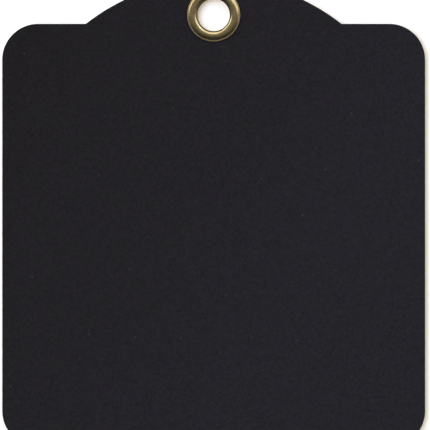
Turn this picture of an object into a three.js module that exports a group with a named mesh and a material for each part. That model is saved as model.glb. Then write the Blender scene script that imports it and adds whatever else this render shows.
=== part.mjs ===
// Square hang tag of black lined board with an arched head and a set brass eyelet.
// Millimetres. The tag lies on its back: +Z is out of its face, +Y runs towards the eyelet
// and +X is to the right of someone who looks at the face.
// The origin is under the middle of the tag, at the lowest point of the eyelet's rolled tail.
import * as THREE from 'three';

// Board outline
const BODY_SIDE = 105;
const CORNER_RADIUS = 8.9;
const SHOULDER_FLAT = 11.84;
const ARCH_RISE = 11;

// Board plies, from the face to the back
const FRONT_PAPER = 0.15;
const CORE = 0.7;
const BACK_PAPER = 0.15;

// Eyelet, drawn from one piece of brass sheet
const BORE_RADIUS = 4;
const BRASS_SHEET = 0.3;
const LIP_WIDTH = 1.12;
const BROW_WIDTH = 1.48;
const DOME_HEIGHT = 0.8;
const TAIL_BEND_RADIUS = 0.25;
const HEAD_MARGIN = 2.2;
const BARREL_CLEARANCE = 0.15;

// Washer under the rolled tail
const WASHER_WIDTH = 1.7;
const WASHER_THICKNESS = 0.3;
const WASHER_LAND = 0.1;
const WASHER_CLEARANCE = 0.12;

// Facets
const CORNER_STEPS = 9;
const ARCH_STEPS = 32;
const ROUND_STEPS = 64;
const BEND_STEPS = 6;

// Radii of the eyelet that follow
const BARREL_RADIUS = BORE_RADIUS + BRASS_SHEET;
const CROWN_RADIUS = BORE_RADIUS + LIP_WIDTH;
const FLANGE_RADIUS = CROWN_RADIUS + BROW_WIDTH;
const TAIL_ROLL_RADIUS = TAIL_BEND_RADIUS + BRASS_SHEET;

// Heights that follow from the stack
const WASHER_BACK_Z = TAIL_ROLL_RADIUS;
const BACK_Z = WASHER_BACK_Z + WASHER_THICKNESS;
const CORE_BACK_Z = BACK_Z + BACK_PAPER;
const CORE_FRONT_Z = CORE_BACK_Z + CORE;
const FACE_Z = CORE_FRONT_Z + FRONT_PAPER;

// Places in the plan
const HALF_SIDE = BODY_SIDE / 2;
const HALF_HEIGHT = (BODY_SIDE + ARCH_RISE) / 2;
const SHOULDER_Y = HALF_HEIGHT - ARCH_RISE;
const ARCH_HALF_CHORD = HALF_SIDE - CORNER_RADIUS - SHOULDER_FLAT;
const ARCH_RADIUS = (ARCH_HALF_CHORD ** 2 + ARCH_RISE ** 2) / (2 * ARCH_RISE);
const ARCH_HALF_ANGLE = Math.asin(ARCH_HALF_CHORD / ARCH_RADIUS);
const EYELET_Y = HALF_HEIGHT - HEAD_MARGIN - FLANGE_RADIUS;

// Points on an ellipse about [x, y], from one angle to another in degrees, both ends included.
function arc(x, y, radiusX, radiusY, fromDegrees, toDegrees, steps) {
  const points = [];
  for (let i = 0; i <= steps; i += 1) {
    const angle = THREE.MathUtils.degToRad(THREE.MathUtils.lerp(fromDegrees, toDegrees, i / steps));
    points.push(new THREE.Vector2(x + radiusX * Math.cos(angle), y + radiusY * Math.sin(angle)));
  }
  return points;
}

// Square body with four round corners, and the arch that stands on its top edge.
function tagOutline() {
  const x = HALF_SIDE - CORNER_RADIUS;
  const top = SHOULDER_Y - CORNER_RADIUS;
  const bottom = CORNER_RADIUS - HALF_HEIGHT;
  const corner = (cx, cy, from) =>
    arc(cx, cy, CORNER_RADIUS, CORNER_RADIUS, from, from + 90, CORNER_STEPS);
  const archCentreY = HALF_HEIGHT - ARCH_RADIUS;
  const spread = THREE.MathUtils.radToDeg(ARCH_HALF_ANGLE);
  return [
    ...corner(x, bottom, -90),
    ...corner(x, top, 0),
    ...arc(0, archCentreY, ARCH_RADIUS, ARCH_RADIUS, 90 - spread, 90 + spread, ARCH_STEPS),
    ...corner(-x, top, 90),
    ...corner(-x, bottom, 180),
  ];
}

// One sheet of the board, cut to the outline and punched for the barrel.
function ply(name, backZ, thickness, look) {
  const shape = new THREE.Shape(tagOutline());
  const hole = BARREL_RADIUS + BARREL_CLEARANCE;
  const punched = arc(0, EYELET_Y, hole, hole, 0, -360, ROUND_STEPS);
  punched.pop();
  shape.holes.push(new THREE.Path(punched));
  const geometry = new THREE.ExtrudeGeometry(shape, { depth: thickness, bevelEnabled: false });
  geometry.translate(0, 0, backZ);
  return named(name, geometry, look);
}

// A section in [radius, height], listed clockwise, closed and turned about the eyelet's axis.
function turned(name, section, look) {
  const outline = [...section, section[0]].reverse();
  const geometry = new THREE.LatheGeometry(outline, ROUND_STEPS);
  geometry.rotateX(Math.PI / 2);
  geometry.translate(0, EYELET_Y, 0);
  return named(name, geometry, look);
}

function named(name, geometry, look) {
  const mesh = new THREE.Mesh(geometry, new THREE.MeshStandardMaterial(look));
  mesh.name = name;
  return mesh;
}

// The sheet's upper side runs up the bore, over the dome and down to the rim. Its lower side is
// one sheet thickness below. The tail rolls out and back until its tip lands on the washer.
function eyelet(look) {
  const dome = (width, height, from, to) =>
    arc(CROWN_RADIUS, FACE_Z, width, height, from, to, BEND_STEPS);
  const roll = (radius, from, to) =>
    arc(BORE_RADIUS + TAIL_ROLL_RADIUS, WASHER_BACK_Z, radius, radius, from, to, 2 * BEND_STEPS);
  const under = (size) => size - BRASS_SHEET;
  return turned('eyelet', [
    ...dome(LIP_WIDTH, DOME_HEIGHT, 180, 90),
    ...dome(BROW_WIDTH, DOME_HEIGHT, 90, 0).slice(1),
    ...dome(under(BROW_WIDTH), under(DOME_HEIGHT), 0, 90),
    ...dome(under(LIP_WIDTH), under(DOME_HEIGHT), 90, 180).slice(1),
    ...roll(TAIL_BEND_RADIUS, 180, 360),
    ...roll(TAIL_ROLL_RADIUS, 360, 180),
  ], look);
}

// A stamped ring, flat on the board, with its outer edge rounded on the side that shows.
function washer(look) {
  const inner = BARREL_RADIUS + WASHER_CLEARANCE;
  const outer = inner + WASHER_WIDTH;
  const round = WASHER_THICKNESS - WASHER_LAND;
  return turned('eyelet_washer', [
    new THREE.Vector2(inner, BACK_Z),
    new THREE.Vector2(outer, BACK_Z),
    ...arc(outer - round, BACK_Z - WASHER_LAND, round, round, 0, -90, BEND_STEPS),
    new THREE.Vector2(inner, WASHER_BACK_Z),
  ], look);
}

const LINING = { color: 0x252428, roughness: 0.85, metalness: 0 };
const PULP_BOARD = { color: 0x2b292b, roughness: 0.95, metalness: 0 };
const ANTIQUE_BRASS = { color: 0xc0ae7e, roughness: 0.25, metalness: 1 };

const tag = new THREE.Group();
tag.add(
  ply('front_face_paper', CORE_FRONT_Z, FRONT_PAPER, LINING),
  ply('core_board', CORE_BACK_Z, CORE, PULP_BOARD),
  ply('back_face_paper', BACK_Z, BACK_PAPER, LINING),
  eyelet(ANTIQUE_BRASS),
  washer(ANTIQUE_BRASS),
);

export default tag;
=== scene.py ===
# %% [markdown]
# # A square tag of black board with a brass eyelet
# The real tag is three sheets of dyed paper and pulp board glued together, cut to shape with a
# steel knife, punched, and fitted with a brass eyelet that is closed over a washer at the back.
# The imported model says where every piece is. This script dresses those pieces: it replaces each
# plain solid by a finer surface of the same size and gives it the finish of the real material.

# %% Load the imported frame
import math
import bpy
import numpy as np
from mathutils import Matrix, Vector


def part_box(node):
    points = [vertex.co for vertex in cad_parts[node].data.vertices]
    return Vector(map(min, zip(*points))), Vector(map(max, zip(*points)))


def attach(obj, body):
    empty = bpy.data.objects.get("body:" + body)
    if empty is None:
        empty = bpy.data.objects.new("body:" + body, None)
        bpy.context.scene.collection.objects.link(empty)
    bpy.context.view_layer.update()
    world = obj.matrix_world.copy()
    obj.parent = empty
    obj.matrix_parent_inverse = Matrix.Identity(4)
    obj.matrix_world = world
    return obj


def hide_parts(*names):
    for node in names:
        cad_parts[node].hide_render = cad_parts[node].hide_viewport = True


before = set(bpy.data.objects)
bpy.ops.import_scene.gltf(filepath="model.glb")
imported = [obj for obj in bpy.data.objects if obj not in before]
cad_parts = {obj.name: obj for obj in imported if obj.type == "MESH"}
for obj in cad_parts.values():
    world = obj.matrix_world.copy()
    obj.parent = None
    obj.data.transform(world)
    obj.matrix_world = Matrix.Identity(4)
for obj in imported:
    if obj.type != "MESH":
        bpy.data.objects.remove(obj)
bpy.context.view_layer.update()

MM = 0.001
print("pieces in the frame:", sorted(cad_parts))

# %% [markdown]
# ## Sizes
# A maker measures before cutting. Heights, widths and the eyelet's place could be typed in again,
# but then they could drift away from the solids. They are read from the frame's boxes instead, so
# the finer surfaces land exactly on the solids. Only the sizes that a box can't tell, such as a
# corner's radius, are written here as driving dimensions.

# %% Sizes from the frame and driving dimensions
CORNER_RADIUS = 8.9 * MM
SHOULDER_FLAT = 11.84 * MM
ARCH_RISE = 11.0 * MM
BORE_RADIUS = 4.0 * MM
BRASS_SHEET = 0.3 * MM
LIP_WIDTH = 1.12 * MM
BARREL_CLEARANCE = 0.15 * MM
WASHER_CLEARANCE = 0.12 * MM

board_low, board_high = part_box("core_board")
back_low, back_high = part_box("back_face_paper")
front_low, front_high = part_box("front_face_paper")
eyelet_low, eyelet_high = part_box("eyelet")
washer_low, washer_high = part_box("eyelet_washer")

HALF_SIDE = board_high.x
HALF_HEIGHT = board_high.y
SHOULDER_Y = HALF_HEIGHT - ARCH_RISE
BACK_Z = back_low.z
FACE_Z = front_high.z
EYELET_Y = (eyelet_low.y + eyelet_high.y) / 2
FLANGE_RADIUS = (eyelet_high.y - eyelet_low.y) / 2
WASHER_RADIUS = (washer_high.y - washer_low.y) / 2
BARREL_RADIUS = BORE_RADIUS + BRASS_SHEET
CROWN_RADIUS = BORE_RADIUS + LIP_WIDTH
HOLE_RADIUS = BARREL_RADIUS + BARREL_CLEARANCE
print(f"board {2 * HALF_SIDE / MM:.1f} by {2 * HALF_HEIGHT / MM:.1f} mm")
print(f"board {(FACE_Z - BACK_Z) / MM:.2f} mm thick")
print(f"flange {2 * FLANGE_RADIUS / MM:.2f} mm across, {EYELET_Y / MM:.2f} mm above the middle")

# %% [markdown]
# ## Camera
# The picture looks straight down on the tag from far away: the bore shows none of its wall. An
# orthographic camera could do that, but a real lens keeps a trace of perspective, so this is a
# long lens high above. One pixel covers a known length of the tag's face, so the lens and the
# camera's place follow from the tag's width and place in the picture.

# %% Camera straight above the tag
PICTURE_PIXELS = 430
PIXELS_PER_SIDE = 422.87
TAG_MIDDLE_PIXEL_X = 213.65
SHOULDER_PIXEL_Y = 23.85
CAMERA_HEIGHT = 1.4
SENSOR_WIDTH = 36.0

pixel = 2 * HALF_SIDE / PIXELS_PER_SIDE
camera_data = bpy.data.cameras.new("long_lens")
camera_data.sensor_width = SENSOR_WIDTH
camera_data.lens = SENSOR_WIDTH * (CAMERA_HEIGHT - FACE_Z) / (PICTURE_PIXELS * pixel)
camera = bpy.data.objects.new("camera_above", camera_data)
bpy.context.scene.collection.objects.link(camera)
camera.location = (
    (PICTURE_PIXELS / 2 - TAG_MIDDLE_PIXEL_X) * pixel,
    SHOULDER_Y - (PICTURE_PIXELS / 2 - SHOULDER_PIXEL_Y) * pixel,
    CAMERA_HEIGHT,
)
bpy.context.scene.camera = camera
print(f"one pixel is {pixel / MM:.4f} mm and the lens is {camera_data.lens:.0f} mm")

# %% [markdown]
# ## From arrays to meshes
# Every piece here is a closed ring: a section that is carried round a loop, like a bent bar. It
# could be extruded or spun with Blender's own tools, but a grid of points worked out with numpy is
# exact and quick. The grid wraps both ways, so one helper makes every piece: rows run along the
# section and columns run round the loop, and the last of each is joined to the first.

# %% A ring mesh from a grid of points
def ring_mesh(name, points, **attributes):
    """Closed surface over points[row, column, xyz], wrapped both ways.

    Quad (r, c) joins the points (r, c), (r+1, c), (r+1, c+1) and (r, c+1), with both counts taken
    round the grid. It faces outwards where rows run outwards over the top of the piece and
    columns run anticlockwise, seen from above. Each attribute is a number for every point.
    """
    rows, columns = points.shape[:2]
    index = np.arange(rows * columns).reshape(rows, columns)
    next_row = np.roll(index, -1, axis=0)
    corners = [index, next_row, np.roll(next_row, -1, axis=1), np.roll(index, -1, axis=1)]
    quads = np.stack(corners, axis=-1).reshape(-1, 4)
    mesh = bpy.data.meshes.new(name)
    mesh.vertices.add(rows * columns)
    mesh.vertices.foreach_set("co", points.astype(np.float32).ravel())
    mesh.loops.add(quads.size)
    mesh.loops.foreach_set("vertex_index", quads.astype(np.int32).ravel())
    mesh.polygons.add(len(quads))
    mesh.polygons.foreach_set("loop_start", np.arange(0, quads.size, 4, dtype=np.int32))
    mesh.polygons.foreach_set("use_smooth", np.ones(len(quads), dtype=bool))
    for key, values in attributes.items():
        layer = mesh.attributes.new(key, "FLOAT", "POINT")
        layer.data.foreach_set("value", values.astype(np.float32).ravel())
    mesh.update(calc_edges=True)
    piece = bpy.data.objects.new(name, mesh)
    bpy.context.scene.collection.objects.link(piece)
    print(f"{name}: {2 * len(quads)} triangles, {signed_volume(mesh):.1f} cubic mm")
    return piece


def signed_volume(mesh):
    """Volume inside a mesh in cubic millimetres: the sum over faces of area, times the distance
    of the face's plane from the origin, over three. It is positive where faces point outwards."""
    count = len(mesh.polygons)
    area = np.zeros(count, np.float32)
    centre = np.zeros(count * 3, np.float32)
    normal = np.zeros(count * 3, np.float32)
    mesh.polygons.foreach_get("area", area)
    mesh.polygons.foreach_get("center", centre)
    mesh.polygons.foreach_get("normal", normal)
    height = (centre.reshape(-1, 3).astype(float) * normal.reshape(-1, 3)).sum(axis=1)
    return float((area * height).sum() / 3) / MM**3


# %% [markdown]
# ## The outline of the board
# The knife's path is a square with round corners and a low arch on its top edge. It could be a
# Bezier curve, but arcs with real radii say what the toolmaker bent. The straight stretches are
# what lies between the arcs. A steel rule can't bend sharply, so the two inner corners at the
# feet of the arch get a very small arc of their own.

# %% The knife's path
KNIFE_BEND = 0.5 * MM
KNIFE_BEND_STEP = 0.05 * MM
ARC_STEP = 0.35 * MM
FEWEST_STEPS = 4
STRAIGHT_STEP = 0.8 * MM
TOUCHING = 1e-6 * MM

ARCH_CHORD = HALF_SIDE - CORNER_RADIUS - SHOULDER_FLAT
ARCH_RADIUS = (ARCH_CHORD**2 + ARCH_RISE**2) / (2 * ARCH_RISE)
ARCH_Y = HALF_HEIGHT - ARCH_RADIUS


def arc_points(x, y, radius, start, end, step=ARC_STEP):
    """Points at (x, y) + radius (cos a, sin a), with a going evenly from start to end in radians."""
    count = max(FEWEST_STEPS, int(abs(end - start) * radius / step))
    angle = np.linspace(start, end, count + 1)
    return np.stack([x + radius * np.cos(angle), y + radius * np.sin(angle)], axis=1)


def right_half():
    """The outline's right half, from the middle of the bottom edge up to the top of the arch.

    The small arc at the arch's foot touches the shoulder from above and the arch from outside,
    so its centre is one bend above the shoulder and its distance to the arch's centre is the sum
    of the two radii.
    """
    quarter = math.pi / 2
    x = HALF_SIDE - CORNER_RADIUS
    foot_y = SHOULDER_Y + KNIFE_BEND
    foot_x = math.sqrt((ARCH_RADIUS + KNIFE_BEND) ** 2 - (foot_y - ARCH_Y) ** 2)
    lean = math.atan2(foot_y - ARCH_Y, foot_x)
    return [
        np.array([[0.0, -HALF_HEIGHT]]),
        arc_points(x, CORNER_RADIUS - HALF_HEIGHT, CORNER_RADIUS, -quarter, 0),
        arc_points(x, SHOULDER_Y - CORNER_RADIUS, CORNER_RADIUS, 0, quarter),
        arc_points(foot_x, foot_y, KNIFE_BEND, -quarter, lean - math.pi, KNIFE_BEND_STEP),
        arc_points(0, ARCH_Y, ARCH_RADIUS, lean, quarter),
    ]


def fill_straights(parts):
    """Joins the stretches, with evenly spaced points where a straight line lies between two."""
    path = [parts[0]]
    for part in parts[1:]:
        start = path[-1][-1]
        gap = np.linalg.norm(part[0] - start)
        count = max(1, round(gap / STRAIGHT_STEP))
        share = np.arange(1, count)[:, None] / count
        path.append(start + share * (part[0] - start))
        path.append(part if gap > TOUCHING else part[1:])
    return np.concatenate(path)


half = fill_straights(right_half())
outline = np.concatenate([half, (half * [-1, 1])[-2:0:-1]])
before = np.roll(outline, 1, axis=0)
after = np.roll(outline, -1, axis=0)
along = after - before
along /= np.linalg.norm(along, axis=1, keepdims=True)
outward = np.stack([along[:, 1], -along[:, 0]], axis=1)
print(f"outline: {len(outline)} points, arch radius {ARCH_RADIUS / MM:.2f} mm")

# %% [markdown]
# ## A grid between the hole and the outline
# Each ply is a flat ring: it starts at the punched hole and ends at the knife cut. Filling that
# space with triangles would give slivers and uneven shading. So lines run from points on a circle
# round the eyelet to points on the outline, and the rows between them make an even grid. The arch
# takes the upper part of the circle and the square body the lower part, so that no lines cross.

# %% Matching the circle to the outline
FOOT_ANGLE = math.radians(-25)

step_length = np.linalg.norm(after - outline, axis=1)
travelled = np.concatenate([[0], np.cumsum(step_length)[:-1]])
whole = step_length.sum()
foot_index = int(np.argmin(np.hypot(outline[:, 0] - ARCH_CHORD, outline[:, 1] - SHOULDER_Y)))
foot_share = travelled[foot_index] / whole
share_marks = [0, foot_share, 0.5, 1 - foot_share, 1]
angle_marks = [-math.pi / 2, FOOT_ANGLE, math.pi / 2, math.pi - FOOT_ANGLE, 1.5 * math.pi]
matched = np.interp(travelled / whole, share_marks, angle_marks)
spoke = np.stack([np.cos(matched), np.sin(matched)], axis=1)
eyelet_axis = np.array([0, EYELET_Y])
print(f"the arch's foot is {100 * foot_share:.1f}% of the way round")


def circle_row(radius):
    """Plan points on a circle of that radius about the eyelet, one for each outline point."""
    return eyelet_axis + radius * spoke


def inset_row(distance):
    """Plan points that lie inside the outline by that distance, square to the cut."""
    return outline - distance * outward


# %% [markdown]
# ## What the tools did to the board
# Setting an eyelet squeezes the board under its flange and washer, and the soft pulp keeps that
# dent just outside the rim. The knife pulls the top edge down a little as it enters. Board also
# cockles slightly as it dries. A sculpted or simulated board could show all this, but the marks
# are simple enough for a formula, and as all three plies share it they stay in touch.

# %% Dents, drawn edges and cockle
FLANGE_DENT = 0.06 * MM
WASHER_DENT = 0.04 * MM
DENT_REACH = 0.75 * MM
KNIFE_DRAW = 0.035 * MM
DRAW_REACH = 0.4 * MM
COCKLE_HEIGHT = 0.012 * MM
COCKLE_WAVES = 24
COCKLE_SHORTEST = 6
COCKLE_LONGEST = 16
COCKLE_FADE = 10 * MM
COCKLE_SEED = 7

random = np.random.default_rng(COCKLE_SEED)
cockle_angle = random.uniform(0, math.pi, COCKLE_WAVES)
cockle_length = random.uniform(COCKLE_SHORTEST, COCKLE_LONGEST, COCKLE_WAVES) * MM
cockle_phase = random.uniform(0, 2 * math.pi, COCKLE_WAVES)


def cockle(plan):
    """Height of the dried board: seeded plane waves, summed, over the root of their number."""
    along_wave = plan[..., 0, None] * np.cos(cockle_angle) + plan[..., 1, None] * np.sin(cockle_angle)
    wave = np.sin(2 * math.pi * along_wave / cockle_length + cockle_phase)
    return COCKLE_HEIGHT * wave.sum(axis=-1) / math.sqrt(COCKLE_WAVES)


def dent(radius, rim, depth):
    """Full depth under the metal, then a smooth cubic rise to nothing over the dent's reach."""
    past = np.clip((radius - rim) / DENT_REACH, 0, 1)
    return depth * (1 - past) ** 2 * (1 + 2 * past)


def worked_height(plan, level, edge_distance):
    """Moves a height the way the board was worked, given its plan point and distance to the cut.

    The share is 0 at the back and 1 at the face. Dents push both sides inwards by their share,
    the knife's draw falls off exponentially with distance from the cut, and the cockle is
    faded out near the metal and the cut so that nothing lifts off its neighbour.
    """
    share = (level - BACK_Z) / (FACE_Z - BACK_Z)
    radius = np.hypot(plan[..., 0], plan[..., 1] - EYELET_Y)
    front_dent = dent(radius, FLANGE_RADIUS, FLANGE_DENT)
    back_dent = dent(radius, WASHER_RADIUS, WASHER_DENT)
    drawn = KNIFE_DRAW * np.exp(-edge_distance / DRAW_REACH)
    free = np.clip((radius - FLANGE_RADIUS - DENT_REACH) / COCKLE_FADE, 0, 1)
    free = free * np.clip(edge_distance / COCKLE_FADE, 0, 1)
    return level - share * (front_dent + drawn) + (1 - share) * back_dent + free * cockle(plan)


# %% [markdown]
# ## One ply
# A ply is a sheet of paper or board with a cut edge. A Solidify and a Bevel modifier would give it
# the same corner all round, but the knife rounds the corner that it enters by and leaves the other
# one sharp. So the section is drawn: over the top face from hole to cut, round the cut edge, back
# under the bottom face and up the wall of the hole. The pulp springs back after the cut, so the
# core's edge swells slightly.

# %% Rows of a face and of a cut edge
# Distances in millimetres from the metal's rim outwards, and from the cut inwards
DENT_ROWS = (-0.3, -0.1, 0.0, 0.04, 0.1, 0.18, 0.3, 0.45, 0.6, 0.76)
INSET_ROWS = (0.8, 0.6, 0.45, 0.32, 0.22)
ROUND_ROWS = 5
SIDE_ROWS = 5
PRESS_SHADE_REACH = 0.25 * MM


def face_rows(between, rim):
    """Plan rows of a face from the hole outwards, and each row's distance to the cut.

    The rows are circles close to the metal's rim and insets close to the cut. Between them, the
    point at share s is (1 - s) times the last circle's point plus s times the inset's point.
    """
    circles = [circle_row(HOLE_RADIUS), *(circle_row(rim + d * MM) for d in DENT_ROWS)]
    insets = [inset_row(d * MM) for d in INSET_ROWS]
    share = np.linspace(0, 1, between + 2)[1:-1, None, None]
    middle = (1 - share) * circles[-1] + share * insets[0]
    rows = np.concatenate([circles, middle, insets])
    gap = np.linalg.norm(rows - outline, axis=-1)
    gap[-len(INSET_ROWS):] = np.array(INSET_ROWS)[:, None] * MM
    return rows, gap


def edge_rows(low, high, low_round, high_round, swell):
    """Rows round the cut edge from the top face to the bottom face, as offset outwards and height.

    Both corners are quarter circles. The side between them swells as half a sine wave.
    """
    turn = np.linspace(0, math.pi / 2, ROUND_ROWS)
    rise = np.linspace(0, 1, SIDE_ROWS + 2)[1:-1]
    top_out = high_round * (np.sin(turn) - 1)
    top_z = high - high_round * (1 - np.cos(turn))
    side_z = (high - high_round) + rise * (low + low_round - high + high_round)
    side_out = swell * np.sin(math.pi * rise)
    low_out = low_round * (np.cos(turn) - 1)
    low_z = low + low_round * (1 - np.sin(turn))
    offset = np.concatenate([top_out, side_out, low_out])
    return offset, np.concatenate([top_z, side_z, low_z])


# %% A ply as one wrapped grid
def ply(name, low, high, low_round, high_round, swell, rows_above, rows_below, rim=FLANGE_RADIUS):
    """A closed ply: top face, cut edge, bottom face and hole wall in one wrapped grid.

    The attribute "pressed" is 1 at the cut and under the metal's rim, and fades exponentially
    with distance from them. The paper material uses it for darker pressed paper and for painted
    shade: a dark line along the cut and a contact shadow round the metal.
    """
    top, top_gap = face_rows(rows_above, rim)
    bottom, bottom_gap = face_rows(rows_below, rim)
    offset, edge_z = edge_rows(low, high, low_round, high_round, swell)
    side = outline + offset[:, None, None] * outward
    plan = np.concatenate([top, side, bottom[::-1]])
    level = np.concatenate([np.full(len(top), high), edge_z, np.full(len(bottom), low)])
    gap = np.concatenate([top_gap, np.zeros(side.shape[:2]), bottom_gap[::-1]])
    height = worked_height(plan, level[:, None], gap)
    points = np.concatenate([plan, height[..., None]], axis=-1)
    past_rim = np.hypot(plan[..., 0], plan[..., 1] - EYELET_Y) - rim
    # Pressed paper and painted shade: a dark line along the cut and a contact shadow round the metal's rim
    pressed = np.exp(-np.clip(np.minimum(gap, past_rim), 0, None) / PRESS_SHADE_REACH)
    return ring_mesh(name, points, pressed=pressed)


# %% The three plies
FACE_GRID = 64
HIDDEN_GRID = 4
FACE_ROUND = 0.11 * MM
BACK_ROUND = 0.05 * MM
CORE_ROUND = 0.03 * MM
HIDDEN_ROUND = 0.02 * MM
PULP_SWELL = 0.02 * MM

low, high = front_low.z, front_high.z
front = ply("front_lining", low, high, HIDDEN_ROUND, FACE_ROUND, 0, FACE_GRID, HIDDEN_GRID)
low, high = board_low.z, board_high.z
core = ply("core_pulp", low, high, CORE_ROUND, CORE_ROUND, PULP_SWELL, HIDDEN_GRID, HIDDEN_GRID)
low, high = back_low.z, back_high.z
back = ply("back_lining", low, high, BACK_ROUND, HIDDEN_ROUND, 0, HIDDEN_GRID, FACE_GRID, WASHER_RADIUS)

# %% [markdown]
# ## The eyelet
# An eyelet is drawn from one disc of brass sheet: a barrel, a lip that rolls out of it into a
# domed flange, and a narrow flat land where the press closed on the sheet's edge. The tail is
# rolled over the washer when it is set. The Screw modifier could turn a drawn profile, but hand
# tools leave the ring uneven, and that is easy to add when the turning is a formula. The section
# is made of arcs of the sheet's real radii.

# %% The eyelet's section
LAND_WIDTH = 0.31 * MM
LAND_DROP = 0.01 * MM
LAND_STEPS = (0.05, 0.15, 0.5, 0.9)
EDGE_ROUND = 0.06 * MM
WALL_POINTS = 8
LIP_POINTS = 22
BROW_POINTS = 24
RIM_POINTS = 8
HIDDEN_POINTS = 10
ROLL_INSIDE_POINTS = 14
ROLL_POINTS = 28
ROLL_RADIUS = washer_low.z - eyelet_low.z
DOME_TOP = eyelet_high.z
SEAT_Z = FACE_Z - FLANGE_DENT


def ellipse(x, z, width, height, start, end, count):
    """Section points at (x + width cos a, z + height sin a), a going from start to end degrees."""
    angle = np.radians(np.linspace(start, end, count))
    return np.stack([x + width * np.cos(angle), z + height * np.sin(angle)], axis=1)


def eyelet_section():
    """The sheet's outer side and then its inner side, one sheet thickness away, as a closed loop.

    Lip and brow are quarter ellipses that meet on the crown. The brow stops where the flat land
    begins, at the angle whose cosine is the share of the brow's width inside the land. The tail
    is two half circles.
    """
    thin = BRASS_SHEET
    dome = DOME_TOP - FACE_Z
    brow = FLANGE_RADIUS - CROWN_RADIUS
    stop = math.acos((brow - LAND_WIDTH) / brow)
    land_z = FACE_Z + dome * math.sin(stop)
    land_share = np.array(LAND_STEPS)
    land_r = FLANGE_RADIUS - LAND_WIDTH + land_share * (LAND_WIDTH - EDGE_ROUND)
    edge_z = land_z - LAND_DROP - EDGE_ROUND
    roll = (BORE_RADIUS + ROLL_RADIUS, washer_low.z)
    wall = np.linspace(washer_low.z, FACE_Z, WALL_POINTS)[1:-1]
    return np.concatenate([
        np.stack([np.full(len(wall), BORE_RADIUS), wall], axis=1),
        ellipse(CROWN_RADIUS, FACE_Z, LIP_WIDTH, dome, 180, 90, LIP_POINTS),
        ellipse(CROWN_RADIUS, FACE_Z, brow, dome, 90, math.degrees(stop), BROW_POINTS)[1:],
        np.stack([land_r, land_z - land_share * LAND_DROP], axis=1),
        ellipse(FLANGE_RADIUS - EDGE_ROUND, edge_z, EDGE_ROUND, EDGE_ROUND, 90, 0, RIM_POINTS),
        [[FLANGE_RADIUS, SEAT_Z], [FLANGE_RADIUS - thin, SEAT_Z]],
        ellipse(CROWN_RADIUS, FACE_Z, brow - thin, dome - thin, 0, 90, HIDDEN_POINTS),
        ellipse(CROWN_RADIUS, FACE_Z, LIP_WIDTH - thin, dome - thin, 90, 180, HIDDEN_POINTS)[1:],
        ellipse(*roll, ROLL_RADIUS - thin, ROLL_RADIUS - thin, 180, 360, ROLL_INSIDE_POINTS),
        ellipse(*roll, ROLL_RADIUS, ROLL_RADIUS, 360, 180, ROLL_POINTS),
    ])


# %% Turning a section
ROUND_COLUMNS = 288


def turned(name, section, sway, **marks):
    """Turns section points (radius, height) about the eyelet's axis, anticlockwise from +X.

    sway(angle, radius, height) gives how far each point is moved outwards and up. Each mark is a
    number for every section point, which the material reads by its name.
    """
    angle = np.linspace(0, 2 * math.pi, ROUND_COLUMNS, endpoint=False)[None, :]
    radius, height = section[:, :1], section[:, 1:]
    out, up = sway(angle, radius, height)
    reach = radius + out
    level = np.broadcast_to(height + up, reach.shape)
    points = np.stack([reach * np.cos(angle), EYELET_Y + reach * np.sin(angle), level], axis=-1)
    marks = {key: np.broadcast_to(mark[:, None], reach.shape) for key, mark in marks.items()}
    return ring_mesh(name, points, **marks)


# %% [markdown]
# A press leaves a flange nearly perfect but rolls the tail unevenly: it is pushed further on one
# side and shows a few soft flats. Two marks tell the material how to colour the metal. "worn" is
# where fingers, cords and other metal rub the brown toning off: the lip, the crown, the land and
# the outside of the roll. "recess" is dark toning left in the bore, where no
# polishing wheel reached, together with painted shade at the steep start of the lip. On the
# washer it is a painted shadow round the rolled tail.

# %% How the tools left the ring uneven
# A wave in these tables is its count round the ring, its share and its phase in radians
ROLL_SWAY = 0.035 * MM
ROLL_LEAN = ((1, 1.0, 0.6), (3, 0.5, 1.1), (7, 0.35, 0.0))
ROLL_LIFT = 0.0175 * MM
LIFT_WAVES = ((2, 1.0, 1.0),)
LIFT_RIPPLE = ((5, 1.0, 0.0),)
FLANGE_SWAY = 0.004 * MM
FLANGE_WAVES = ((2, 1.0, 0.4), (5, 0.6, 2.0))


def waves(angle, table):
    """The sum of share * sin(count * angle + phase) over the rows of a table."""
    return sum(share * np.sin(count * angle + phase) for count, share, phase in table)


def eyelet_sway(angle, radius, height):
    """Low sine waves round the ring, full on the roll's underside and faint on the flange.

    That underside is also lifted, by a height times one plus the product of two waves.
    """
    on_roll = np.clip((washer_low.z - height) / ROLL_RADIUS, 0, 1)
    on_dome = np.clip((height - FACE_Z) / (DOME_TOP - FACE_Z), 0, 1)
    out = ROLL_SWAY * on_roll * waves(angle, ROLL_LEAN) * (radius > BARREL_RADIUS)
    out = out + FLANGE_SWAY * on_dome * waves(angle, FLANGE_WAVES)
    up = ROLL_LIFT * on_roll * (1 + waves(angle, LIFT_WAVES) * waves(angle, LIFT_RIPPLE))
    return out, up


# %% Turn the eyelet, with the marks of wear, toning and painted shade
CROWN_WEAR = 0.25
CROWN_REACH = 0.45 * MM
LIP_WEAR = 0.5
LIP_MIDDLE = BORE_RADIUS + 0.45 * MM
LIP_REACH = 0.35 * MM
LAND_REACH = 0.465 * MM
ROLL_REACH = 0.2 * MM
DARK_WALL_REACH = 0.19 * MM
DARK_WALL_FADE = 0.16 * MM
BARREL_TONE = 0.4


def hump(values, middle, width):
    """1 at the middle and falling away as the bell curve exp(-((values - middle) / width)^2)."""
    return np.exp(-(((values - middle) / width) ** 2))


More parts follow.
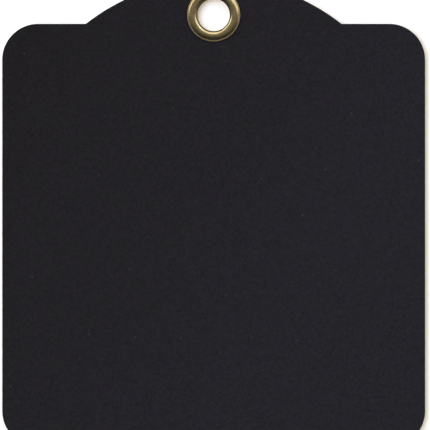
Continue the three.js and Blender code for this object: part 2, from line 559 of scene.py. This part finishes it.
section = eyelet_section()
section_radius, section_z = section.T
on_top = section_z > FACE_Z
crown = CROWN_WEAR * hump(section_radius, CROWN_RADIUS, CROWN_REACH) * on_top
lip = LIP_WEAR * hump(section_radius, LIP_MIDDLE, LIP_REACH) * on_top
land = hump(section_radius, FLANGE_RADIUS, LAND_REACH)
rolled = np.clip(1 - (section_z - eyelet_low.z) / ROLL_REACH, 0, 1)
# Toning left in the bore, with painted shade at the steep start of the lip
near_bore = np.clip(1 - (section_radius - BORE_RADIUS - DARK_WALL_REACH) / DARK_WALL_FADE, 0, 1)
mouth = np.clip((section_z - FACE_Z) / BRASS_SHEET + 1, BARREL_TONE, 1)
worn = np.max([crown, lip, land, rolled], axis=0)
eyelet = turned("brass_eyelet", section, eyelet_sway, worn=worn, recess=near_bore * mouth)

# %% [markdown]
# ## The washer
# The washer is a plain stamped ring. A flat disc would do from far off, but stamping rounds its
# outer edge on one side and the setting tool presses a faint ring into it. So it is turned from
# a short section of its own, with soft corners and a shallow dish.

# %% Turn the washer
WASHER_ROUND = 0.12 * MM
WASHER_DISH = 0.03 * MM
WASHER_BREAK = 0.05 * MM
DISH_POINTS = 16
EDGE_WANDER = 0.012 * MM
WANDER_WAVES = ((3, 1.0, 2.0), (11, 0.5, 0.0))
WANDER_REACH = 0.6 * MM
WORN_EDGE = 0.15 * MM
ROLL_SHADE = 0.2 * MM


def washer_section():
    """A flat bar in section, listed clockwise, with a quarter circle where its outer edge shows
    and a shallow cosine dish in the side that shows."""
    inner = BARREL_RADIUS + WASHER_CLEARANCE
    low = washer_low.z
    high = washer_high.z + WASHER_DENT
    bend = WASHER_RADIUS - WASHER_ROUND
    flat = np.linspace(bend, inner + WASHER_BREAK, DISH_POINTS)[1:-1]
    dish = WASHER_DISH * 0.5 * (1 - np.cos(2 * math.pi * np.linspace(0, 1, len(flat))))
    return np.concatenate([
        [[inner, low + WASHER_BREAK], [inner, high], [WASHER_RADIUS - WASHER_BREAK, high]],
        [[WASHER_RADIUS, high - WASHER_BREAK]],
        ellipse(bend, low + WASHER_ROUND, WASHER_ROUND, WASHER_ROUND, 0, -90, RIM_POINTS),
        np.stack([flat, low + dish], axis=1),
        [[inner + WASHER_BREAK, low]],
    ])


def washer_sway(angle, radius, height):
    """The stamped edge wanders by a few hundredths of a millimetre."""
    on_edge = radius > WASHER_RADIUS - WANDER_REACH
    return EDGE_WANDER * waves(angle, WANDER_WAVES) * on_edge, 0 * angle


section = washer_section()
section_radius, section_z = section.T
washer = turned(
    "brass_washer",
    section,
    washer_sway,
    worn=hump(section_radius, WASHER_RADIUS, WORN_EDGE),
    # Painted shadow of the rolled tail on the washer
    recess=hump(section_radius, BORE_RADIUS + 2 * ROLL_RADIUS, ROLL_SHADE),
)

# %% [markdown]
# ## Colours and nodes
# Colours are written as they look on a screen and turned to linear light by one function. One
# helper adds any node. It finds inputs by name among those in use, because Blender's Mix and Math
# nodes keep several inputs of the same name and show only some of them.

# %% Helpers for materials
def linear(hex_code):
    """A colour like "#252428" in linear light.

    Each share c becomes ((c + 0.055) / 1.055) ** 2.4, or c / 12.92 where it is nearly black.
    """
    shares = [int(hex_code[i : i + 2], 16) / 255 for i in (1, 3, 5)]
    return (*[((c + 0.055) / 1.055) ** 2.4 if c > 0.04045 else c / 12.92 for c in shares], 1.0)


def add_node(tree, kind, inputs=(), **settings):
    """Adds a node, and sets its settings and then its inputs.

    An input is found by name, or by number where names repeat, among those in use. It takes a
    number, a colour, a socket, or a node, which stands for its first output in use.
    """
    node = tree.nodes.new("ShaderNode" + kind)
    for key, value in settings.items():
        setattr(node, key, value)
    used = [socket for socket in node.inputs if socket.enabled]
    names = [socket.name for socket in used]
    for key, value in dict(inputs).items():
        socket = used[key if isinstance(key, int) else names.index(key)]
        if isinstance(value, bpy.types.Node):
            value = next(output for output in value.outputs if output.enabled)
        if isinstance(value, bpy.types.NodeSocket):
            tree.links.new(value, socket)
        else:
            socket.default_value = value
    return node


def new_material(name):
    """An empty material, its node tree and the object's own coordinates."""
    material = bpy.data.materials.new(name)
    material.use_nodes = True
    tree = material.node_tree
    tree.nodes.clear()
    return material, tree, add_node(tree, "TexCoord").outputs["Object"]


def per(size_mm):
    """A texture scale for features of about that many millimetres."""
    return 1 / (size_mm * MM)


# %% [markdown]
# ## Dyed lining paper
# The facing is uncoated paper dyed black in the pulp. The dye settles unevenly, so it is a mottle
# of greenish and violet blacks a few millimetres wide. Across the sheet the colour runs darker and
# warmer at the upper left corner and lighter and bluer away from it. Over that lie the grain of the
# fibres, dark pores between them and a few specks of pale lint. The paper is darker where it was
# pressed at the cut and under the metal's rim, with painted shade there: a dark line along the cut
# and a contact shadow round the metal. A photograph could be laid on, but noise has no seams and
# can be tuned. Paper is matt, with an IOR near 1.5 and almost no gloss. Real fibres are finer than
# a pixel of the picture, so the grain is drawn up to a millimetre wide to show at all.

# %% Material: black lining paper
# Colour runs from darker and warmer at the upper left to lighter and bluer at the lower right
DRIFT_DIRECTION = (1, -0.65, 0)
DRIFT_START = -90 * MM
DRIFT_END = 35 * MM

# Pattern sizes in millimetres
CLOUD_SIZE = 2.6
GRAIN_SIZE = 0.8
FELT_SIZE = 0.35
RAGGED_SIZE = 0.4

# Specks of lint: spacing and radius in millimetres, and colour
DUST = ((5, 0.25, "#38373b"), (14, 0.3, "#4c4b4f"), (40, 0.36, "#5e5d60"))
SPECK_HEART = 0.3
SPECK_POWER = 4.0
SPECK_SHIFT = 0.4 * MM


def lining_paper():
    """Four near blacks mixed by side and by cloudy noise, then grain, pores, specks, and pressed paper with
    painted shade along the cut and round the metal's rim.

    The felt of fibres is a fine noise that also drives the bump, and its deepest spots are dark
    pores. A speck is drawn round the point of each cell of a Voronoi pattern, full in its heart,
    with a fine noise that shifts its rim. Its brightness is the cell's random colour to the fourth
    power, so that most are faint.
    """
    material, tree, place = new_material("dyed_lining_paper")
    across = add_node(tree, "VectorMath", {0: place, 1: DRIFT_DIRECTION}, operation="DOT_PRODUCT")
    side = add_node(tree, "MapRange", {"Value": across, "From Min": DRIFT_START, "From Max": DRIFT_END})
    shades = {"Factor": side, "A": linear("#1d1b1c"), "B": linear("#232327")}
    green = add_node(tree, "Mix", shades, data_type="RGBA")
    shades = {"Factor": side, "A": linear("#1f1a1e"), "B": linear("#242229")}
    violet = add_node(tree, "Mix", shades, data_type="RGBA")
    inputs = {"Vector": place, "Scale": per(CLOUD_SIZE), "Detail": 3.0, "Roughness": 0.65}
    cloud = add_node(tree, "TexNoise", inputs)
    patch = add_node(tree, "MapRange", {"Value": cloud, "From Min": 0.42, "From Max": 0.58})
    base = add_node(tree, "Mix", {"Factor": patch, "A": green, "B": violet}, data_type="RGBA")

    inputs = {"Vector": place, "Scale": per(GRAIN_SIZE), "Detail": 2.5, "Roughness": 0.75}
    grain = add_node(tree, "TexNoise", inputs)
    depth = add_node(tree, "MapRange", {"Value": grain, "From Min": 0.3, "From Max": 0.7})
    shades = {"Factor": depth, "A": base, "B": linear("#cfcfcf")}
    base = add_node(tree, "Mix", shades, data_type="RGBA", blend_type="MULTIPLY")

    inputs = {"Vector": place, "Scale": per(FELT_SIZE), "Detail": 3.0, "Roughness": 0.65}
    felt = add_node(tree, "TexNoise", inputs)
    inputs = {"Value": felt, "From Min": 0.4, "From Max": 0.35, "To Max": 0.8}
    pore = add_node(tree, "MapRange", inputs)
    shades = {"Factor": pore, "A": base, "B": linear("#08080a")}
    base = add_node(tree, "Mix", shades, data_type="RGBA")

    ragged = add_node(tree, "TexNoise", {"Vector": place, "Scale": per(RAGGED_SIZE), "Detail": 1.0})
    inputs = {0: ragged.outputs["Color"], 1: (SPECK_SHIFT,) * 3, 2: place}
    loose = add_node(tree, "VectorMath", inputs, operation="MULTIPLY_ADD")
    for spacing, size, colour in DUST:
        inputs = {"Vector": loose, "Scale": per(spacing)}
        cells = add_node(tree, "TexVoronoi", inputs, voronoi_dimensions="2D")
        rim = size / spacing
        spot = add_node(tree, "MapRange", {"Value": cells, "From Min": rim, "From Max": SPECK_HEART * rim})
        chance = add_node(tree, "Math", {0: cells.outputs["Color"], 1: SPECK_POWER}, operation="POWER")
        share = add_node(tree, "Math", {0: spot, 1: chance}, operation="MULTIPLY")
        shades = {"Factor": share, "A": base, "B": linear(colour)}
        base = add_node(tree, "Mix", shades, data_type="RGBA")

    # Painted shade along the cut and round the metal's rim, over the darker pressed paper
    pressed = add_node(tree, "Attribute", attribute_name="pressed").outputs["Fac"]
    mark = add_node(tree, "MapRange", {"Value": pressed, "From Min": 0.1, "To Max": 0.6})
    shades = {"Factor": mark, "A": base, "B": linear("#16171e")}
    base = add_node(tree, "Mix", shades, data_type="RGBA")
    bump = add_node(tree, "Bump", {"Height": felt, "Strength": 0.6, "Distance": 0.02 * MM})
    dull = add_node(tree, "MapRange", {"Value": grain, "To Min": 0.8, "To Max": 0.95})
    finish = {"Base Color": base, "Roughness": dull, "Normal": bump, "Specular IOR Level": 0.2}
    shader = add_node(tree, "BsdfPrincipled", finish)
    add_node(tree, "OutputMaterial", {"Surface": shader})
    return material


# %% [markdown]
# ## Pulp board
# The core is grey-black pulp pressed in thin layers. It only shows on the cut edge, where the
# knife leaves fine lines along the layers and torn fibre ends. A striped texture on the edge would
# need its own UV map. Noise on the object's coordinates, squeezed along Z, gives layers that
# follow the board on every side.

# %% Material: pulp board
LAYER_SQUEEZE = (1, 1, 7)

# Pattern sizes in millimetres
LAYER_SIZE = 0.5
FIBRE_SIZE = 0.14


def pulp_board():
    """Noise squeezed along Z draws the layers, and fine noise draws the torn fibres."""
    material, tree, place = new_material("dyed_pulp_board")
    squeezed = add_node(tree, "Mapping", {"Vector": place, "Scale": LAYER_SQUEEZE})
    inputs = {"Vector": squeezed, "Scale": per(LAYER_SIZE), "Detail": 3.0, "Roughness": 0.6}
    layer = add_node(tree, "TexNoise", inputs)
    inputs = {"Vector": place, "Scale": per(FIBRE_SIZE), "Detail": 2.0, "Roughness": 0.6}
    fibre = add_node(tree, "TexNoise", inputs)
    share = add_node(tree, "MapRange", {"Value": layer, "From Min": 0.3, "From Max": 0.7})
    shades = {"Factor": share, "A": linear("#1f1e20"), "B": linear("#343235")}
    base = add_node(tree, "Mix", shades, data_type="RGBA")
    share = add_node(tree, "MapRange", {"Value": fibre, "From Min": 0.5, "From Max": 0.8, "To Max": 0.6})
    shades = {"Factor": share, "A": base, "B": linear("#454246")}
    base = add_node(tree, "Mix", shades, data_type="RGBA")
    height = add_node(tree, "Math", {0: layer, 1: fibre}, operation="ADD")
    bump = add_node(tree, "Bump", {"Height": height, "Strength": 0.8, "Distance": 0.04 * MM})
    finish = {"Base Color": base, "Roughness": 0.95, "Normal": bump, "Specular IOR Level": 0.2}
    shader = add_node(tree, "BsdfPrincipled", finish)
    add_node(tree, "OutputMaterial", {"Surface": shader})
    return material


# %% [markdown]
# ## Antique brass
# The eyelet is polished brass with a brown chemical toning that is relieved on its high spots.
# A metal has no colour of its own light, only the colour of its mirror image, so the tint goes
# into the base colour with metallic at 1. Painting highlights on would look wrong from another
# side. The toning darkens and dulls the mirror, and small pits and rubs break it up. Toning stays
# dark in the bore, and painted shade darkens its steep mouth and the washer round the rolled tail.

# %% Material: antique brass
# Pattern sizes in millimetres
TONING_SIZE = 1.3
PIT_SIZE = 0.22


def antique_brass():
    """Clean brass on worn places, toned brass elsewhere, dark toning in the bore and painted shade at its
    mouth and round the rolled tail.
    """
    material, tree, place = new_material("antique_brass")
    inputs = {"Vector": place, "Scale": per(TONING_SIZE), "Detail": 3.0, "Roughness": 0.6}
    cloud = add_node(tree, "TexNoise", inputs)
    inputs = {"Vector": place, "Scale": per(PIT_SIZE), "Detail": 2.0, "Roughness": 0.6}
    pits = add_node(tree, "TexNoise", inputs)
    worn = add_node(tree, "Attribute", attribute_name="worn").outputs["Fac"]
    inputs = {"Value": cloud, "From Min": 0.35, "From Max": 0.65, "To Min": -0.3, "To Max": 0.3}
    uneven = add_node(tree, "MapRange", inputs)
    worn = add_node(tree, "Math", {0: worn, 1: uneven}, operation="ADD")
    worn = add_node(tree, "MapRange", {"Value": worn, "From Min": 0.1, "From Max": 0.9})
    shades = {"Factor": worn, "A": linear("#c4b17f"), "B": linear("#e6cea2")}
    base = add_node(tree, "Mix", shades, data_type="RGBA")
    share = add_node(tree, "MapRange", {"Value": pits, "From Min": 0.55, "From Max": 0.8, "To Max": 0.5})
    shades = {"Factor": share, "A": base, "B": linear("#83714a")}
    base = add_node(tree, "Mix", shades, data_type="RGBA")
    # Toning in the bore, and painted shade at its mouth and round the rolled tail
    recess = add_node(tree, "Attribute", attribute_name="recess").outputs["Fac"]
    shades = {"Factor": recess, "A": base, "B": linear("#2e2f26")}
    base = add_node(tree, "Mix", shades, data_type="RGBA")
    dull = add_node(tree, "MapRange", {"Value": cloud, "To Min": 0.1, "To Max": 0.28})
    bump = add_node(tree, "Bump", {"Height": pits, "Strength": 0.15, "Distance": 0.01 * MM})
    finish = {"Base Color": base, "Metallic": 1.0, "Roughness": dull, "Normal": bump}
    shader = add_node(tree, "BsdfPrincipled", finish)
    add_node(tree, "OutputMaterial", {"Surface": shader})
    return material


# %% [markdown]
# ## Dress the pieces
# Each new piece rides on the one rigid body, takes the place of its plain solid and gets its finish.

# %% Ride, replace and give each piece its finish
paper = lining_paper()
brass = antique_brass()
dressing = (
    (front, "front_face_paper", "lining_paper", paper),
    (core, "core_board", "pulp_board", pulp_board()),
    (back, "back_face_paper", "lining_paper", paper),
    (eyelet, "eyelet", "antique_brass", brass),
    (washer, "eyelet_washer", "antique_brass", brass),
)
for piece, node, slot, material in dressing:
    piece.data.materials.append(material)
    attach(piece, "root")
    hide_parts(node)
    print(piece.name, "stands for", node)

# %% [markdown]
# ## Floor
# The tag lies on plain white paper. Brighter lamps would bring the paper to white, but they would
# also bleach the tag. So the paper is a real matt surface that holds the shadow, and it adds a
# little warm light of its own, only to the rays that the camera and shiny things send. A square
# this large fills the picture down to a few degrees above the floor.

# %% Floor sheet
FLOOR_SIZE = 16.0

reach = FLOOR_SIZE / 2
corners = [(-reach, -reach, 0), (reach, -reach, 0), (reach, reach, 0), (-reach, reach, 0)]
floor_mesh = bpy.data.meshes.new("white_paper_floor")
floor_mesh.from_pydata(corners, [], [(0, 1, 2, 3)])
floor = bpy.data.objects.new("white_paper_floor", floor_mesh)
bpy.context.scene.collection.objects.link(floor)
print(f"floor {FLOOR_SIZE:.0f} m square")

# %% [markdown]
# Under the tag no lamp reaches the paper, so its own light would draw a warm line along the
# tag's edge in a low view. A painted mask could hide it, but the outline is a few arcs, and nodes
# can work out how far any spot is from it. The ground seen through the bore keeps its light.

# %% Distance past the tag's outline
BORE_SURROUND = 4.25 * MM


def past_outline(tree, place):
    """How far a spot on the floor lies outside the tag's outline, and less than 0 under the tag.

    For the square body, the spot is taken from the body's middle and folded into one quarter, the
    corner's centre is taken off, what is below 0 becomes 0, and the length of the rest less the
    corner's radius is the distance. For the arch it is the distance from the arch's centre less
    the arch's radius. The smaller one counts, except round the bore.
    """
    middle = (0, SHOULDER_Y - HALF_SIDE, 0)
    corner = (HALF_SIDE - CORNER_RADIUS, HALF_SIDE - CORNER_RADIUS, 0)
    spot = add_node(tree, "VectorMath", {0: place, 1: middle}, operation="SUBTRACT")
    spot = add_node(tree, "VectorMath", {0: spot}, operation="ABSOLUTE")
    spot = add_node(tree, "VectorMath", {0: spot, 1: corner}, operation="SUBTRACT")
    spot = add_node(tree, "VectorMath", {0: spot, 1: (0, 0, 0)}, operation="MAXIMUM")
    square = add_node(tree, "VectorMath", {0: spot}, operation="LENGTH").outputs["Value"]
    square = add_node(tree, "Math", {0: square, 1: CORNER_RADIUS}, operation="SUBTRACT")
    arch = add_node(tree, "VectorMath", {0: place, 1: (0, ARCH_Y, 0)}, operation="DISTANCE")
    arch = add_node(tree, "Math", {0: arch.outputs["Value"], 1: ARCH_RADIUS}, operation="SUBTRACT")
    bore = add_node(tree, "VectorMath", {0: place, 1: (0, EYELET_Y, 0)}, operation="DISTANCE")
    bore = add_node(tree, "Math", {0: BORE_SURROUND, 1: bore.outputs["Value"]}, operation="SUBTRACT")
    past = add_node(tree, "Math", {0: square, 1: arch}, operation="MINIMUM")
    return add_node(tree, "Math", {0: past, 1: bore}, operation="MAXIMUM")


# %% [markdown]
# The paper is clear from below, and under the tag only the camera sees it, so that the back of the
# tag is lit by the room and a lamp below when it is looked at. Moving the floor away for that view
# would work as well, but this needs no second scene.

# %% Material: white paper
GLOW_EDGE = 0.15 * MM
GLOW_END = 0.9 * MM


def white_paper():
    """Matt white paper with a warm glow for the camera and for mirrors, clear from below.

    A ray also passes through it on its way to a lamp, and where the tag covers the floor, unless
    it comes from the camera.
    """
    material, tree, place = new_material("white_paper")
    rays = add_node(tree, "LightPath").outputs
    seen = add_node(tree, "Math", {0: rays["Is Camera Ray"], 1: rays["Is Glossy Ray"]}, operation="MAXIMUM")
    seen = add_node(tree, "Math", {0: seen, 1: rays["Is Transmission Ray"]}, operation="MAXIMUM")
    ends = {"From Min": -GLOW_END, "From Max": -GLOW_EDGE}
    open_sky = add_node(tree, "MapRange", {"Value": past_outline(tree, place), **ends})
    strength = add_node(tree, "Math", {0: seen, 1: open_sky}, operation="MULTIPLY")
    glow = add_node(tree, "Emission", {"Color": linear("#99855d"), "Strength": strength})
    matt = add_node(tree, "BsdfDiffuse", {"Color": linear("#e5eefb")})
    both = add_node(tree, "AddShader", {0: glow, 1: matt})
    below = add_node(tree, "NewGeometry").outputs["Backfacing"]
    passes = add_node(tree, "Math", {0: below, 1: rays["Is Shadow Ray"]}, operation="MAXIMUM")
    covered = add_node(tree, "Math", {0: 1.0, 1: open_sky}, operation="SUBTRACT")
    unseen = add_node(tree, "Math", {0: covered, 1: rays["Is Camera Ray"]}, operation="SUBTRACT")
    passes = add_node(tree, "Math", {0: passes, 1: unseen}, operation="MAXIMUM")
    clear = add_node(tree, "BsdfTransparent")
    sided = add_node(tree, "MixShader", {0: passes, 1: both, 2: clear})
    add_node(tree, "OutputMaterial", {"Surface": sided})
    return material


floor_mesh.materials.append(white_paper())
print(f"the floor's glow fades from {GLOW_EDGE / MM:.2f} to {GLOW_END / MM:.2f} mm inside the tag's edge")

# %% [markdown]
# ## Light
# A broad lamp high on the left lights the paper and throws the short shadow to the right. It is
# kept out of mirrors, where it would burn a hot spot into the brass. The brass needs softer things
# to mirror: a wide panel beyond the head of the tag and a window on the left draw its crescents,
# a dim window on the right and a low wall on the near side catch the rim, and a room that is
# darker and cooler on the near side shades the dome. A last lamp lights the back from below. The
# room is the world's colour, graded along Y, because a set of many lamps would be slower. A narrow
# white band lies along its horizon, as where a photographer's paper sweeps up behind a thing.

# %% Lamps
LAMP_PATCHES = 40


def received(box, width, height):
    """Light on the tag's face from a lamp's face of brightness 1, where 1 is a whole white sky.

    Each small patch of the face gives its solid angle, times the cosine from the tag's upright,
    over pi.
    """
    share = (np.arange(LAMP_PATCHES) + 0.5) / LAMP_PATCHES - 0.5
    across, up = np.meshgrid(share * width, share * height)
    patch = np.stack([across, up, 0 * up], axis=-1) @ np.array(box.rotation_euler.to_matrix()).T
    patch = patch + np.array(box.location)
    distance = np.linalg.norm(patch, axis=-1)
    facing = patch @ np.array(box.location.normalized()) / distance
    upright = np.clip(patch[..., 2] / distance, 0, None)
    return float((facing * upright / distance**2).mean() * width * height / math.pi)


def softbox(name, azimuth, elevation, distance, width, height, glow, colour, glossy=True):
    """A lamp that faces the tag from a direction in degrees. Azimuth 0 is +X and 90 is +Y.

    glow is how bright its face looks, where 1 is white paper in full light. A lamp of area A that
    is given the power P looks P / (4 A) bright.
    """
    lamp = bpy.data.lights.new(name, "AREA")
    lamp.shape = "RECTANGLE"
    lamp.size = width
    lamp.size_y = height
    lamp.energy = 4 * width * height * glow
    lamp.color = linear(colour)[:3]
    box = bpy.data.objects.new(name, lamp)
    bpy.context.scene.collection.objects.link(box)
    a, e = math.radians(azimuth), math.radians(elevation)
    away = np.array([math.cos(a) * math.cos(e), math.sin(a) * math.cos(e), math.sin(e)])
    box.location = away * distance
    box.rotation_euler = box.location.to_track_quat("Z", "Y").to_euler()
    box.visible_camera = False
    box.visible_glossy = glossy
    share = received(box, width, height) * glow
    print(f"{name}: {lamp.energy:.0f} W, {share:.2f} of full light on the tag's face")


# Name, azimuth and elevation in degrees, distance, width and height in metres, glow, colour
softbox("key_upper_left", 172, 64, 4.0, 3.0, 3.0, 3.7, "#fbfcff", glossy=False)
softbox("panel_beyond_head", 66, 45, 3.0, 5.0, 2.2, 0.98, "#f2f7ff")
softbox("window_left", 143, 26, 3.0, 2.4, 1.8, 1.1, "#f8fbff")
softbox("window_right", 5, 25, 3.0, 1.8, 1.6, 0.12, "#f8fbff")
softbox("low_wall_near_side", 290, 6.5, 4.0, 20.0, 0.9, 0.5, "#fff8f0")
softbox("lamp_below", 250, -80, 4.0, 3.0, 3.0, 4.0, "#fffcf8", glossy=False)

# %% The room
ROOM_DARK = 0.06
ROOM_BRIGHT = 0.28
DARKEST_Y = -0.5
BRIGHTEST_Y = 0.16
SWEEP_TOP = math.sin(math.radians(2.6))
SWEEP_END = math.sin(math.radians(3.4))

world = bpy.data.worlds.new("room")
bpy.context.scene.world = world
world.use_nodes = True
tree = world.node_tree
tree.nodes.clear()
way = add_node(tree, "SeparateXYZ", {"Vector": add_node(tree, "TexCoord").outputs["Generated"]}).outputs
inputs = {"Value": way["Y"], "From Min": DARKEST_Y, "From Max": BRIGHTEST_Y}
share = add_node(tree, "MapRange", inputs, interpolation_type="SMOOTHSTEP")
level = add_node(tree, "MapRange", {"Value": share, "To Min": ROOM_DARK, "To Max": ROOM_BRIGHT})
shades = {"Factor": share, "A": linear("#e7f0ff"), "B": linear("#fff8f0")}
tint = add_node(tree, "Mix", shades, data_type="RGBA")
room = add_node(tree, "Background", {"Color": tint, "Strength": level})
rise = add_node(tree, "Math", {0: way["Z"]}, operation="ABSOLUTE")
sweep = add_node(tree, "MapRange", {"Value": rise, "From Min": SWEEP_END, "From Max": SWEEP_TOP})
white = add_node(tree, "Background", {"Color": linear("#ffffff"), "Strength": 1.0})
mixed = add_node(tree, "MixShader", {0: sweep, 1: room, 2: white})
add_node(tree, "OutputWorld", {"Surface": mixed})
bpy.context.scene.view_settings.view_transform = "Standard"
print("room lit from", ROOM_DARK, "to", ROOM_BRIGHT)
